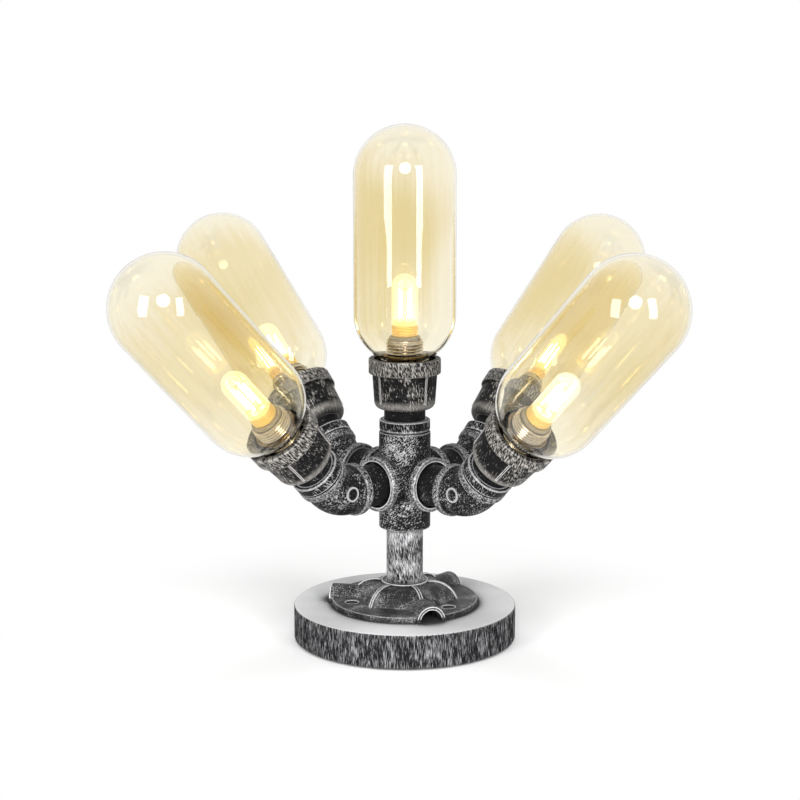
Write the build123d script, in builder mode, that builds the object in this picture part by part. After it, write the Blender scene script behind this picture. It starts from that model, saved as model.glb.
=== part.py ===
from build123d import *

import os
from math import cos, radians, sin, sqrt

# Industrial pipe lamp: a round base carries a cast floor flange, a short stem and a six-way cross.
# The cross feeds one upright head and four heads on 45 degree elbows. Each head is a riser nipple
# with a lock collar, a cast cup, a lampholder, a capsule bulb and an amber capsule shade.
# Millimetres. Origin at the centre of the underside, +Z up, the front of the lamp faces -Y.

# Clearances and cuts
thread_gap = 0.1
swivel_gap = 0.06
slide_gap = 0.3
overrun = 1.0

# Base disc and the rubber pad under it
base_diameter = 152.4
base_height = 24.0
base_wall = 12.0
base_roof = 7.0
base_edge_radius = 1.0
pad_thickness = 2.0
pad_proud = 0.8
pad_margin = 5.0
wire_hole_diameter = 12.0

# Cord bushing in the back of the base
bushing_bore = 7.0
bushing_barrel = 11.0
bushing_flange = 15.0
bushing_flange_thickness = 2.0
bushing_spot_depth = 1.5
bushing_tail = 1.5
bushing_height = 10.0

# Terminal block under the roof of the base
terminal_length = 26.0
terminal_width = 15.0
terminal_height = 10.0
terminal_distance = 32.0
terminal_well = 3.4
terminal_well_depth = 6.0
terminal_pitch = 7.0
terminal_columns = 3
terminal_rows = 2

# Cast floor flange
flange_diameter = 100.0
flange_plate = 4.0
flange_edge_radius = 0.8
flange_wall = 4.0
dome_diameter = 71.0
hub_diameter = 32.0
hub_height = 16.5
hub_lip = 2.0
hub_engagement = 12.0
dome_crown_share = 0.72
rib_count = 6
rib_width = 2.2
rib_proud = 1.3
tunnel_count = 3
tunnel_diameter = 19.6
tunnel_bore = 15.2
tunnel_axis_height = 1.0
tunnel_proud = 1.2
tunnel_angle = 22.0

# Flange screws
screw_circle_diameter = 77.0
screw_head = 7.4
screw_head_height = 1.8
screw_sink = 1.2
screw_seat_diameter = 9.0
screw_shank = 4.0
screw_slot_width = 1.0
screw_slot_depth = 1.1

# Pipes and their threaded joints
stem_diameter = 25.0
pipe_diameter = 28.0
pipe_wall = 2.6
engagement = 8.0

# Six-way cross
cross_height = 111.4
cross_half_height = 33.4
cross_diameter = 35.0
cross_side_half = 28.0
cross_side_diameter = 33.0
cross_bead_diameter = 37.0
cross_bead_width = 5.0
cross_mouth_diameter = 31.6
cross_mouth_depth = 3.0
cross_edge_radius = 1.0

# Elbows
arm_azimuths = {"front_right": 45.0, "back_right": 135.0, "back_left": 225.0, "front_left": 315.0}
arm_reach = 63.0
arm_tilt_angle = 45.0
elbow_leg = 18.6
elbow_diameter = 32.0
elbow_bead_diameter = 35.0
elbow_bead_width = 5.2
elbow_bead_edge = 1.0
elbow_bend_radius = 22.0
elbow_end_gap = 0.3
elbow_pad_diameter = 10.0
elbow_pad_rim = 1.1
elbow_pad_proud = 0.9
elbow_pad_recess = 0.6
elbow_pad_share = 0.5

# Lock collars on the risers
collar_diameter = 34.4
collar_height = 7.2
collar_register = 1.0
collar_register_diameter = 31.0
collar_edge_radius = 0.7
riser_show = 7.4

# Cast cups
cup_height = 34.4
cup_rim_diameter = 48.8
cup_rim_height = 10.3
cup_rim_edge = 0.8
cup_top_diameter = 44.0
cup_low_diameter = 41.4
cup_shoulder = 5.0
cup_foot_diameter = 31.6
cup_socket_depth = 8.0
cup_web = 4.0
cup_wire_hole = 11.0
cup_mouth_diameter = 42.0
cup_mouth_depth = 5.0
cup_rib_count = 4
cup_rib_width = 1.5
cup_rib_proud = 0.6
cup_rib_angle = 42.0

# Glass shades
shade_diameter = 69.0
shade_straight = 92.0
shade_wall = 2.0
shade_neck_diameter = 35.0
shade_neck_length = 11.0
shade_neck_fillet = 2.5

# Lampholders
holder_diameter = 25.4
holder_flange_diameter = 29.0
holder_flange_height = 3.0
holder_above_rim = 15.0
holder_nose_diameter = 21.0
holder_nose_height = 2.5
pin_slot_gap = 0.3

# Capsule bulbs
bulb_diameter = 17.8
bulb_wall = 1.0
bulb_height = 42.0
bulb_collar_height = 7.5
bulb_spigot_height = 3.0
bulb_pin_width = 3.0
bulb_pin_thickness = 1.0
bulb_pin_length = 11.0
bulb_pin_pitch = 6.0
filament_count = 4
filament_diameter = 1.8
filament_circle_diameter = 8.6
filament_length = 21.0
filament_plate = 1.4
filament_margin = 0.4
filament_stem_diameter = 2.4

# Leads inside the pipes
lead_diameter = 5.0
lead_end_radius = 6.0
lead_bend_radius = 9.0

# Worked out once
base_radius = base_diameter / 2
cavity_radius = base_radius - base_wall
cavity_top = base_height - base_roof
pad_radius = base_radius - pad_margin
bushing_seat = base_radius - bushing_spot_depth
flange_radius = flange_diameter / 2
stem_radius = stem_diameter / 2
pipe_radius = pipe_diameter / 2
pipe_bore = pipe_radius - pipe_wall
hub_top = base_height + hub_height
cross_top = cross_height + cross_half_height
cross_bottom = cross_height - cross_half_height
collar_top = collar_register + collar_height
cup_seat = collar_top + riser_show
cup_rim_bottom = cup_height - cup_rim_height
cup_floor = cup_socket_depth + cup_web
cup_ledge = cup_height - shade_neck_length
shade_radius = shade_diameter / 2
neck_radius = shade_neck_diameter / 2
shade_low_centre = cup_height + sqrt(shade_radius**2 - neck_radius**2)
shade_high_centre = shade_low_centre + shade_straight
holder_top = cup_height + holder_above_rim
bulb_radius = bulb_diameter / 2
bulb_seat = holder_top + bulb_collar_height
UP = Vector(0, 0, 1)


def radial(azimuth):
    """Level direction at an azimuth counted from the front (-Y) towards +X."""
    return Vector(sin(radians(azimuth)), -cos(radians(azimuth)), 0)


def upright(origin, outward):
    """Plane whose x runs along outward and whose y runs up, for profiles that stand on edge."""
    return Plane(origin=origin, x_dir=outward, z_dir=outward.cross(UP))


def profile_plane(seat):
    """Plane of the half section of a turned piece: x is the radius, y the height above its seat."""
    return Plane(origin=seat.origin, x_dir=seat.x_dir, z_dir=-seat.y_dir)


def turn_axis(seat):
    """Axis that a piece on this seat is turned about."""
    return Axis(seat.origin, seat.z_dir)


def ring_section(outer, width, edge):
    """Half section of a bead with rounded edges, from inside the pipe's wall out to its rim."""
    with Locations((pipe_bore, 0)):
        RectangleRounded(outer - pipe_bore, width, edge, align=(Align.MIN, Align.MIN))


def save(piece, name):
    """Labels a finished piece and writes it as one node."""
    piece.part.label = name
    export_step(piece.part, f"parts/{name}.step")


def make_tube(seat, outer, inner, start, end):
    """Plain pipe along a seat's z, between two heights."""
    with BuildPart() as tube:
        with BuildSketch(seat.offset(start)):
            Circle(outer)
            Circle(inner, mode=Mode.SUBTRACT)
        extrude(amount=end - start)
    return tube


# Base disc: a turned shell, open underneath for the wiring, with a recess for the pad
def make_base():
    pad_recess = pad_thickness - pad_proud
    with BuildPart() as base:
        with BuildSketch(Plane.XY.offset(pad_proud)):
            Circle(base_radius)
        extrude(amount=base_height - pad_proud)
        rims = base.edges().filter_by(GeomType.CIRCLE)
        fillet(rims, radius=base_edge_radius)
        with BuildSketch(Plane.XY.offset(pad_proud)):
            Circle(pad_radius + thread_gap)
        extrude(amount=pad_recess, mode=Mode.SUBTRACT)
        with BuildSketch(Plane.XY.offset(pad_proud)):
            Circle(cavity_radius)
        extrude(amount=cavity_top - pad_proud, mode=Mode.SUBTRACT)
        with BuildSketch(Plane.XY.offset(cavity_top)):
            Circle(wire_hole_diameter / 2)
            with PolarLocations(screw_circle_diameter / 2, tunnel_count, start_angle=screw_start_angle()):
                Circle(screw_shank / 2 + thread_gap)
        extrude(amount=base_roof, mode=Mode.SUBTRACT)
        with BuildSketch(bushing_plane()):
            Circle(bushing_flange / 2 + thread_gap)
        extrude(amount=bushing_spot_depth + overrun, mode=Mode.SUBTRACT)
        with BuildSketch(bushing_plane()):
            Circle(bushing_barrel / 2 + thread_gap)
        extrude(amount=-(base_wall + overrun), mode=Mode.SUBTRACT)
    return base


def screw_start_angle():
    """Angle from +X of the first flange screw, half way between a tunnel and the next."""
    return tunnel_angle - 90 + 180 / rib_count


def bushing_plane():
    """Seat of the bushing's flange in the back of the base, facing out."""
    return Plane(origin=(0, bushing_seat, bushing_height), x_dir=(-1, 0, 0), z_dir=(0, 1, 0))


# Rubber pad: the lamp stands on it, and it closes the wiring space
def make_pad():
    with BuildPart() as pad:
        with BuildSketch():
            Circle(pad_radius)
        extrude(amount=pad_thickness)
    return pad


# Cord bushing: a flanged sleeve pushed in from the back
def make_bushing():
    barrel_length = bushing_seat - cavity_radius + bushing_tail
    with BuildPart() as bushing:
        with BuildSketch(bushing_plane()):
            Circle(bushing_flange / 2)
        extrude(amount=bushing_flange_thickness)
        with BuildSketch(bushing_plane()):
            Circle(bushing_barrel / 2)
        extrude(amount=-barrel_length)
        with BuildSketch(bushing_plane().offset(bushing_flange_thickness)):
            Circle(bushing_bore / 2)
        extrude(amount=-(barrel_length + bushing_flange_thickness), mode=Mode.SUBTRACT)
    return bushing


# Terminal block: two rows of screw wells, fixed under the roof
def make_terminal_block():
    under_roof = Plane(origin=(0, terminal_distance, cavity_top), x_dir=(1, 0, 0), z_dir=(0, 0, -1))
    with BuildPart() as block:
        with BuildSketch(under_roof):
            Rectangle(terminal_length, terminal_width)
        extrude(amount=terminal_height)
        with BuildSketch(under_roof.offset(terminal_height)):
            with GridLocations(terminal_pitch, terminal_pitch, terminal_columns, terminal_rows):
                Circle(terminal_well / 2)
        extrude(amount=-terminal_well_depth, mode=Mode.SUBTRACT)
    return block


def dome_stations(grow):
    """Radius and height of the dome's foot, crown and top along a rib, grown outwards by grow."""
    inner = hub_diameter / 2
    span = dome_diameter / 2 + grow - inner
    rise = hub_height - hub_lip + grow - flange_plate
    crown = (inner + dome_crown_share * span, flange_plate + dome_crown_share * rise)
    return (inner + span, flange_plate), crown, (inner, flange_plate + rise)


def rib_outline():
    """Outline of a rib in its upright plane, from the hub's bore out to the dome's foot."""
    foot, crown, top = dome_stations(rib_proud)
    with BuildLine() as outline:
        ThreePointArc(foot, crown, top)
        Polyline(top, (stem_radius, top[1]), (stem_radius, 0), (foot[0], 0), foot)
    return outline.edges()


# Cast floor flange: plate, six-sided dome with ribs, and three cable tunnels, hollow underneath
def make_flange():
    foot = Vector(0, 0, base_height)
    seat = Plane(origin=foot, z_dir=UP)
    with BuildPart() as flange:
        with BuildSketch(seat):
            Circle(flange_radius)
        extrude(amount=flange_plate)
        fillet(flange.edges().filter_by(GeomType.CIRCLE).sort_by(Axis.Z)[-1], radius=flange_edge_radius)
        for radius, height in dome_stations(0):
            with BuildSketch(seat.offset(height)):
                RegularPolygon(radius, rib_count, rotation=tunnel_angle - 90)
        loft()
        with BuildSketch(seat):
            Circle(hub_diameter / 2)
        extrude(amount=hub_height)
        for number in range(rib_count):
            outward = radial(tunnel_angle + number * 360 / rib_count)
            with BuildSketch(upright(foot, outward)):
                make_face(rib_outline())
            extrude(amount=rib_width / 2, both=True)
        for plane in tunnel_planes():
            with BuildSketch(plane):
                tunnel_section(tunnel_diameter)
            extrude(amount=flange_radius + tunnel_proud - stem_radius)
        with BuildSketch(upright(foot, radial(0))):
            make_face(hollow_outline())
        revolve(axis=turn_axis(seat), mode=Mode.SUBTRACT)
        for plane in tunnel_planes():
            with BuildSketch(plane):
                tunnel_section(tunnel_bore)
            extrude(amount=flange_radius + tunnel_proud - hub_diameter / 2 - flange_wall, mode=Mode.SUBTRACT)
        with BuildSketch(seat):
            Circle(stem_radius + thread_gap)
        extrude(amount=hub_height, mode=Mode.SUBTRACT)
        with BuildSketch(seat.offset(flange_plate)):
            with PolarLocations(screw_circle_diameter / 2, tunnel_count, start_angle=screw_start_angle()):
                Circle(screw_seat_diameter / 2)
        extrude(amount=-(screw_sink + screw_head_height), mode=Mode.SUBTRACT)
        with BuildSketch(seat):
            with PolarLocations(screw_circle_diameter / 2, tunnel_count, start_angle=screw_start_angle()):
                Circle(screw_shank / 2 + thread_gap)
        extrude(amount=flange_plate, mode=Mode.SUBTRACT)
    return flange


def tunnel_planes():
    """Upright planes at the tunnels' mouths, just past the flange's edge, looking in towards the hub."""
    for number in range(tunnel_count):
        outward = radial(tunnel_angle + number * 360 / tunnel_count)
        edge = outward * (flange_radius + tunnel_proud) + UP * base_height
        yield Plane(origin=edge, x_dir=outward.cross(UP), z_dir=-outward)


def tunnel_section(diameter):
    """Arch that stands on the flange's underside."""
    with Locations((0, tunnel_axis_height)):
        Circle(diameter / 2)
    Rectangle(diameter, diameter, align=(Align.CENTER, Align.MIN), mode=Mode.INTERSECT)


def hollow_outline():
    """Half section of the ring-shaped space under the dome, between its wall and the hub's sleeve."""
    inner = hub_diameter / 2
    flat = dome_diameter / 2 * cos(radians(180 / rib_count))
    span = flat - flange_wall - inner
    rise = hub_height - hub_lip - flange_wall
    crown = (inner + dome_crown_share * span, dome_crown_share * rise)
    with BuildLine() as outline:
        ThreePointArc((inner + span, 0), crown, (inner, rise))
        Polyline((inner, rise), (inner, 0), (inner + span, 0))
    return outline.edges()


# Flange screws: slotted heads sunk in the plate, shanks in the roof of the base
def make_flange_screws():
    head_top = base_height + flange_plate - screw_sink
    head_plane = Plane.XY.offset(head_top)
    places = PolarLocations(screw_circle_diameter / 2, tunnel_count, start_angle=screw_start_angle())
    with BuildPart() as screws:
        with BuildSketch(head_plane):
            with places:
                Circle(screw_head / 2)
        extrude(amount=-screw_head_height)
        with BuildSketch(Plane.XY.offset(cavity_top)):
            with places:
                Circle(screw_shank / 2)
        extrude(amount=head_top - screw_head_height - cavity_top)
        with BuildSketch(head_plane):
            with places:
                Rectangle(screw_head, screw_slot_width)
        extrude(amount=-screw_slot_depth, mode=Mode.SUBTRACT)
    return screws


# Six-way cross: an upright barrel with four beaded side outlets
def make_cross():
    centre = Vector(0, 0, cross_height)
    outlets = [Plane(origin=centre, z_dir=radial(azimuth)) for azimuth in arm_azimuths.values()]
    with BuildPart() as cross:
        with BuildSketch(Plane.XY.offset(cross_bottom)):
            Circle(cross_diameter / 2)
        extrude(amount=2 * cross_half_height)
        fillet(cross.edges().filter_by(GeomType.CIRCLE), radius=cross_edge_radius)
        for outlet in outlets:
            with BuildSketch(outlet):
                Circle(cross_side_diameter / 2)
            extrude(amount=cross_side_half)
        for outlet in outlets:
            with BuildSketch(profile_plane(outlet.offset(cross_side_half - cross_bead_width))):
                ring_section(cross_bead_diameter / 2, cross_bead_width, cross_edge_radius)
            revolve(axis=turn_axis(outlet))
        with BuildSketch(Plane.XY.offset(cross_bottom)):
            Circle(pipe_bore)
        extrude(amount=2 * cross_half_height, mode=Mode.SUBTRACT)
        with BuildSketch(Plane.XY.offset(cross_bottom)):
            Circle(stem_radius + thread_gap)
        extrude(amount=engagement, mode=Mode.SUBTRACT)
        with BuildSketch(Plane.XY.offset(cross_top)):
            Circle(pipe_radius + thread_gap)
        extrude(amount=-engagement, mode=Mode.SUBTRACT)
        for outlet in outlets:
            with BuildSketch(outlet):
                Circle(pipe_bore)
            extrude(amount=cross_side_half, mode=Mode.SUBTRACT)
            with BuildSketch(outlet.offset(cross_side_half)):
                Circle(pipe_radius + thread_gap)
            extrude(amount=-engagement, mode=Mode.SUBTRACT)
            with BuildSketch(outlet.offset(cross_side_half)):
                Circle(cross_mouth_diameter / 2)
            extrude(amount=-cross_mouth_depth, mode=Mode.SUBTRACT)
    return cross


def elbow_path(azimuth):
    """Centre line of an elbow in its bend plane: level leg, bend, tilted leg."""
    plane = upright(UP * cross_height + radial(azimuth) * arm_reach, radial(azimuth))
    tip = (elbow_leg * cos(radians(arm_tilt_angle)), elbow_leg * sin(radians(arm_tilt_angle)))
    with BuildLine(plane) as path:
        FilletPolyline((-elbow_leg, 0), (0, 0), tip, radius=elbow_bend_radius)
    return path.wire()


# 45 degree elbow: a swept body with a bead at each end and a plain round pad on each side
def make_elbow(azimuth):
    path = elbow_path(azimuth)
    low_face = Plane(origin=path @ 0, z_dir=path % 0)
    high_face = Plane(origin=path @ 1, z_dir=-(path % 1))
    side = radial(azimuth).cross(UP)
    middle = path @ elbow_pad_share
    with BuildPart() as elbow:
        with BuildSketch(low_face):
            Circle(elbow_diameter / 2)
        sweep(path=path)
        for face in (low_face, high_face):
            with BuildSketch(profile_plane(face)):
                ring_section(elbow_bead_diameter / 2, elbow_bead_width, elbow_bead_edge)
            revolve(axis=turn_axis(face))
        pad_reach = elbow_diameter / 2 + elbow_pad_proud
        with BuildSketch(Plane(origin=middle, z_dir=side)):
            Circle(elbow_pad_diameter / 2)
        extrude(amount=pad_reach, both=True)
        for way in (side, -side):
            with BuildSketch(Plane(origin=middle + way * pad_reach, z_dir=way)):
                Circle(elbow_pad_diameter / 2 - elbow_pad_rim)
            extrude(amount=-elbow_pad_recess, mode=Mode.SUBTRACT)
        with BuildSketch(low_face):
            Circle(pipe_bore)
        sweep(path=path, mode=Mode.SUBTRACT)
        with BuildSketch(low_face):
            Circle(pipe_radius + swivel_gap)
        extrude(amount=engagement, mode=Mode.SUBTRACT)
        with BuildSketch(high_face):
            Circle(pipe_radius + thread_gap)
        extrude(amount=engagement, mode=Mode.SUBTRACT)
    return elbow


# Lock collar: a ring with a short register that stands on the fitting below it
def make_collar(seat):
    with BuildPart() as collar:
        with BuildSketch(seat):
            Circle(collar_register_diameter / 2)
        extrude(amount=collar_top)
        with BuildSketch(profile_plane(seat.offset(collar_register))):
            ring_section(collar_diameter / 2, collar_height, collar_edge_radius)
        revolve(axis=turn_axis(seat))
        with BuildSketch(seat):
            Circle(pipe_radius + thread_gap)
        extrude(amount=collar_top, mode=Mode.SUBTRACT)
    return collar


# Cast cup: a bell reducer with a heavy rim, a tapered ribbed body and a stepped inside
def make_cup(seat):
    rim = cup_rim_diameter / 2
    low = cup_low_diameter / 2
    top = cup_top_diameter / 2
    foot = cup_foot_diameter / 2
    mouth = cup_mouth_diameter / 2
    mouth_floor = cup_height - cup_mouth_depth
    neck_bore = neck_radius + slide_gap
    holder_bore = holder_flange_diameter / 2 + thread_gap
    wire_bore = cup_wire_hole / 2
    socket = pipe_radius + thread_gap
    with BuildPart() as cup:
        with BuildSketch(profile_plane(seat)):
            with BuildLine():
                RadiusArc((foot, 0), (low, cup_shoulder), -cup_shoulder)
                Polyline((low, cup_shoulder), (top, cup_rim_bottom), (rim, cup_rim_bottom),
                         (rim, cup_height), (mouth, cup_height), (mouth, mouth_floor),
                         (neck_bore, mouth_floor), (neck_bore, cup_ledge), (holder_bore, cup_ledge),
                         (holder_bore, cup_floor), (wire_bore, cup_floor), (wire_bore, cup_socket_depth),
                         (socket, cup_socket_depth), (socket, 0), (foot, 0))
            make_face()
        revolve(axis=turn_axis(seat))
        circles = cup.edges().filter_by(GeomType.CIRCLE)
        rim_edges = circles.filter_by(lambda edge: abs(edge.radius - rim) < thread_gap)
        fillet(rim_edges, radius=cup_rim_edge)
        for number in range(cup_rib_count):
            angle = cup_rib_angle + number * 360 / cup_rib_count
            spoke = seat.x_dir.rotate(Axis((0, 0, 0), seat.z_dir), angle)
            with BuildSketch(profile_plane(Plane(origin=seat.origin, x_dir=spoke, z_dir=seat.z_dir))):
                Polygon((low - cup_rib_proud, cup_shoulder), (low + cup_rib_proud, cup_shoulder),
                        (top + cup_rib_proud, cup_rim_bottom), (top - cup_rib_proud, cup_rim_bottom),
                        align=None)
            extrude(amount=cup_rib_width / 2, both=True)
    return cup


# Lampholder: a flanged barrel on the cup's floor, with two slots for the bulb's pins
def make_lampholder(seat):
    body = holder_diameter / 2
    flange = holder_flange_diameter / 2
    nose = holder_nose_diameter / 2
    flange_top = cup_floor + holder_flange_height
    shoulder = holder_top - holder_nose_height
    with BuildPart() as holder:
        with BuildSketch(profile_plane(seat)):
            Polygon((0, cup_floor), (flange, cup_floor), (flange, flange_top), (body, flange_top),
                    (body, shoulder), (nose, shoulder), (nose, holder_top), (0, holder_top), align=None)
        revolve(axis=turn_axis(seat))
        with BuildSketch(seat.offset(holder_top)):
            with GridLocations(bulb_pin_pitch, 0, 2, 1):
                Rectangle(bulb_pin_thickness + 2 * pin_slot_gap, bulb_pin_width + 2 * pin_slot_gap)
        extrude(amount=-(bulb_pin_length + pin_slot_gap), mode=Mode.SUBTRACT)
    return holder


# Bulb core: collar with two flat pins, and a cage of filament sticks round a thin stem
def make_bulb_core(seat):
    spigot_top = bulb_seat + bulb_spigot_height
    stick_top = spigot_top + filament_length
    cage = filament_circle_diameter / 2 + filament_diameter / 2 + filament_margin
    with BuildPart() as core:
        with BuildSketch(seat.offset(holder_top)):
            Circle(bulb_radius)
        extrude(amount=bulb_collar_height)
        with BuildSketch(seat.offset(bulb_seat)):
            Circle(bulb_radius - bulb_wall - thread_gap)
        extrude(amount=bulb_spigot_height)
        with BuildSketch(seat.offset(spigot_top)):
            with PolarLocations(filament_circle_diameter / 2, filament_count):
                Circle(filament_diameter / 2)
            Circle(filament_stem_diameter / 2)
        extrude(amount=filament_length)
        with BuildSketch(seat.offset(stick_top)):
            Circle(cage)
        extrude(amount=filament_plate)
        with BuildSketch(seat.offset(holder_top)):
            with GridLocations(bulb_pin_pitch, 0, 2, 1):
                Rectangle(bulb_pin_thickness, bulb_pin_width)
        extrude(amount=-bulb_pin_length)
    return core


# Bulb glass: a round-ended tube that stands on the core's collar
def make_bulb_glass(seat):
    inner = bulb_radius - bulb_wall
    dome_centre = holder_top + bulb_height - bulb_radius
    with BuildPart() as glass:
        with BuildSketch(profile_plane(seat)):
            with BuildLine():
                Line((inner, bulb_seat), (bulb_radius, bulb_seat))
                Line((bulb_radius, bulb_seat), (bulb_radius, dome_centre))
                JernArc((bulb_radius, dome_centre), (0, 1), bulb_radius, 90)
                Line((0, dome_centre + bulb_radius), (0, dome_centre + inner))
                JernArc((0, dome_centre + inner), (1, 0), inner, -90)
                Line((inner, dome_centre), (inner, bulb_seat))
            make_face()
        revolve(axis=turn_axis(seat))
    return glass


# Glass shade: a capsule shell whose open neck drops into the cup
def make_shade(seat):
    inner = shade_radius - shade_wall
    neck_inner = neck_radius - shade_wall
    inner_foot = shade_low_centre - sqrt(inner**2 - neck_inner**2)
    outer_foot = shade_low_centre - sqrt(shade_radius**2 - neck_radius**2)
    with BuildPart() as shade:
        with BuildSketch(profile_plane(seat)) as section:
            with BuildLine():
                Line((neck_inner, cup_ledge), (neck_radius, cup_ledge))
                Line((neck_radius, cup_ledge), (neck_radius, outer_foot))
                RadiusArc((neck_radius, outer_foot), (shade_radius, shade_low_centre), -shade_radius)
                Line((shade_radius, shade_low_centre), (shade_radius, shade_high_centre))
                JernArc((shade_radius, shade_high_centre), (0, 1), shade_radius, 90)
                Line((0, shade_high_centre + shade_radius), (0, shade_high_centre + inner))
                JernArc((0, shade_high_centre + inner), (1, 0), inner, -90)
                Line((inner, shade_high_centre), (inner, shade_low_centre))
                RadiusArc((inner, shade_low_centre), (neck_inner, inner_foot), inner)
                Line((neck_inner, inner_foot), (neck_inner, cup_ledge))
            make_face()
            throat = section.vertices().filter_by(lambda v: v in neck_corners(section))
            fillet(throat, radius=shade_neck_fillet)
        revolve(axis=turn_axis(seat))
    return shade


def neck_corners(section):
    """The two corners of the shade's half section where the neck meets the lower dome."""
    ends = section.vertices().sort_by(Axis.Y)
    return ends[2:4]


def make_lead(wire):
    """Flexible lead swept along a wire that stays inside the pipes."""
    with BuildPart() as lead:
        with BuildSketch(Plane(origin=wire @ 0, z_dir=wire % 0)):
            Circle(lead_diameter / 2)
        sweep(path=wire)
    return lead


# Lead of a tilted head: from its lampholder, round the elbow and into the cross
def arm_lead_wire(azimuth):
    plane = upright(UP * cross_height + radial(azimuth) * arm_reach, radial(azimuth))
    reach = elbow_leg + cup_seat + cup_floor
    tip = (reach * cos(radians(arm_tilt_angle)), reach * sin(radians(arm_tilt_angle)))
    with BuildLine(plane) as route:
        FilletPolyline(tip, (0, 0), (lead_end_radius - arm_reach, 0), radius=elbow_bend_radius)
    return route.wire()


# Lead of the upright head: down the stem and across to the terminal block
def centre_lead_wire():
    block_face = terminal_distance - terminal_width / 2
    block_middle = cavity_top - terminal_height / 2
    with BuildLine(upright(Vector(0, 0, 0), Vector(0, 1, 0))) as route:
        FilletPolyline((0, cross_top + cup_seat + cup_floor), (0, block_middle), (block_face, block_middle),
                       radius=lead_bend_radius)
    return route.wire()


def head_seats():
    """Name and outlet plane of each head: its z points out of the fitting that carries it."""
    yield "centre", Plane(origin=(0, 0, cross_top), z_dir=UP)
    for name, azimuth in arm_azimuths.items():
        outward = radial(azimuth)
        along = outward * cos(radians(arm_tilt_angle)) + UP * sin(radians(arm_tilt_angle))
        bend = UP * cross_height + outward * arm_reach
        yield name, Plane(origin=bend + along * elbow_leg, x_dir=outward.cross(UP), z_dir=along)


os.makedirs("parts", exist_ok=True)

save(make_base(), "base_disc")
save(make_pad(), "base_pad")
save(make_bushing(), "cord_bushing")
save(make_terminal_block(), "terminal_block")
save(make_flange(), "pipe_flange")
save(make_flange_screws(), "flange_screws")
stem_bottom = hub_top - hub_engagement
stem_top = cross_bottom + engagement
save(make_tube(Plane.XY, stem_radius, stem_radius - pipe_wall, stem_bottom, stem_top), "stem_pipe")
save(make_cross(), "cross_fitting")

for name, azimuth in arm_azimuths.items():
    arm_axis = Plane(origin=UP * cross_height, z_dir=radial(azimuth))
    nipple_end = arm_reach - elbow_leg + engagement - elbow_end_gap
    nipple_start = cross_side_half - engagement
    save(make_tube(arm_axis, pipe_radius, pipe_bore, nipple_start, nipple_end), f"arm_nipple_{name}")
    save(make_elbow(azimuth), f"elbow_{name}")
    save(make_lead(arm_lead_wire(azimuth)), f"leads_{name}")

save(make_lead(centre_lead_wire()), "leads_centre")

for name, outlet in head_seats():
    cup_plane = outlet.offset(cup_seat)
    riser_top = cup_seat + cup_socket_depth
    save(make_tube(outlet, pipe_radius, pipe_bore, -engagement, riser_top), f"riser_nipple_{name}")
    save(make_collar(outlet), f"lock_collar_{name}")
    save(make_cup(cup_plane), f"cup_{name}")
    save(make_lampholder(cup_plane), f"lampholder_{name}")
    save(make_bulb_core(cup_plane), f"bulb_core_{name}")
    save(make_bulb_glass(cup_plane), f"bulb_glass_{name}")
    save(make_shade(cup_plane), f"shade_{name}")
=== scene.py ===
"""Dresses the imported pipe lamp: rubbed black iron, amber capsule shades, lit capsule bulbs, studio light."""
import logging
from dataclasses import dataclass, field
from enum import Enum
from math import acos, cos, degrees, radians, sin, sqrt, tau
from typing import Any, Iterable, Union

import bmesh
import bpy
from mathutils import Matrix, Vector


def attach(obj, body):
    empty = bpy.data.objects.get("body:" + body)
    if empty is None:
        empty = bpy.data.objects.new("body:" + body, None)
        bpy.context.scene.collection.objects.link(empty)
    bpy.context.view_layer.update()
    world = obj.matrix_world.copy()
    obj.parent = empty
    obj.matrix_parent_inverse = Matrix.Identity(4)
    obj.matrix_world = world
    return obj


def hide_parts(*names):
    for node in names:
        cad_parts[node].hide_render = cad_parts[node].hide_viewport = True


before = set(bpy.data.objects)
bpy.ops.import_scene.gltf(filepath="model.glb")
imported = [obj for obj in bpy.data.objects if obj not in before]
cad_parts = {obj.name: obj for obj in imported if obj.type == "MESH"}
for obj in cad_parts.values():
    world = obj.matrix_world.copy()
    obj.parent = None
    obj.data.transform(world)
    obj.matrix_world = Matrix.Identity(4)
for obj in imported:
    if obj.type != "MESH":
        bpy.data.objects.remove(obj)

log = logging.getLogger("pipe_lamp")
Point = tuple[float, float]
Colour = tuple[float, float, float]
Axis = tuple[float, float, float]
Operand = Union["Signal", float, int]
Finishes = dict[str, bpy.types.Material]
UP = Vector((0.0, 0.0, 1.0))
WHITE = (1.0, 1.0, 1.0, 1.0)
# Inputs (factor, first, second) and output of a Mix node that mixes colours
MIX_INPUTS = (0, 6, 7)
MIX_RESULT = 2
OCCLUSION_SAMPLES = 8
# Angle in degrees beyond which an edge stays sharp, and lengths in metres that count as nothing
SHARP_ANGLE = 40.0
SAME_POINT = 1e-7
ON_AXIS = 1e-9


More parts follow.
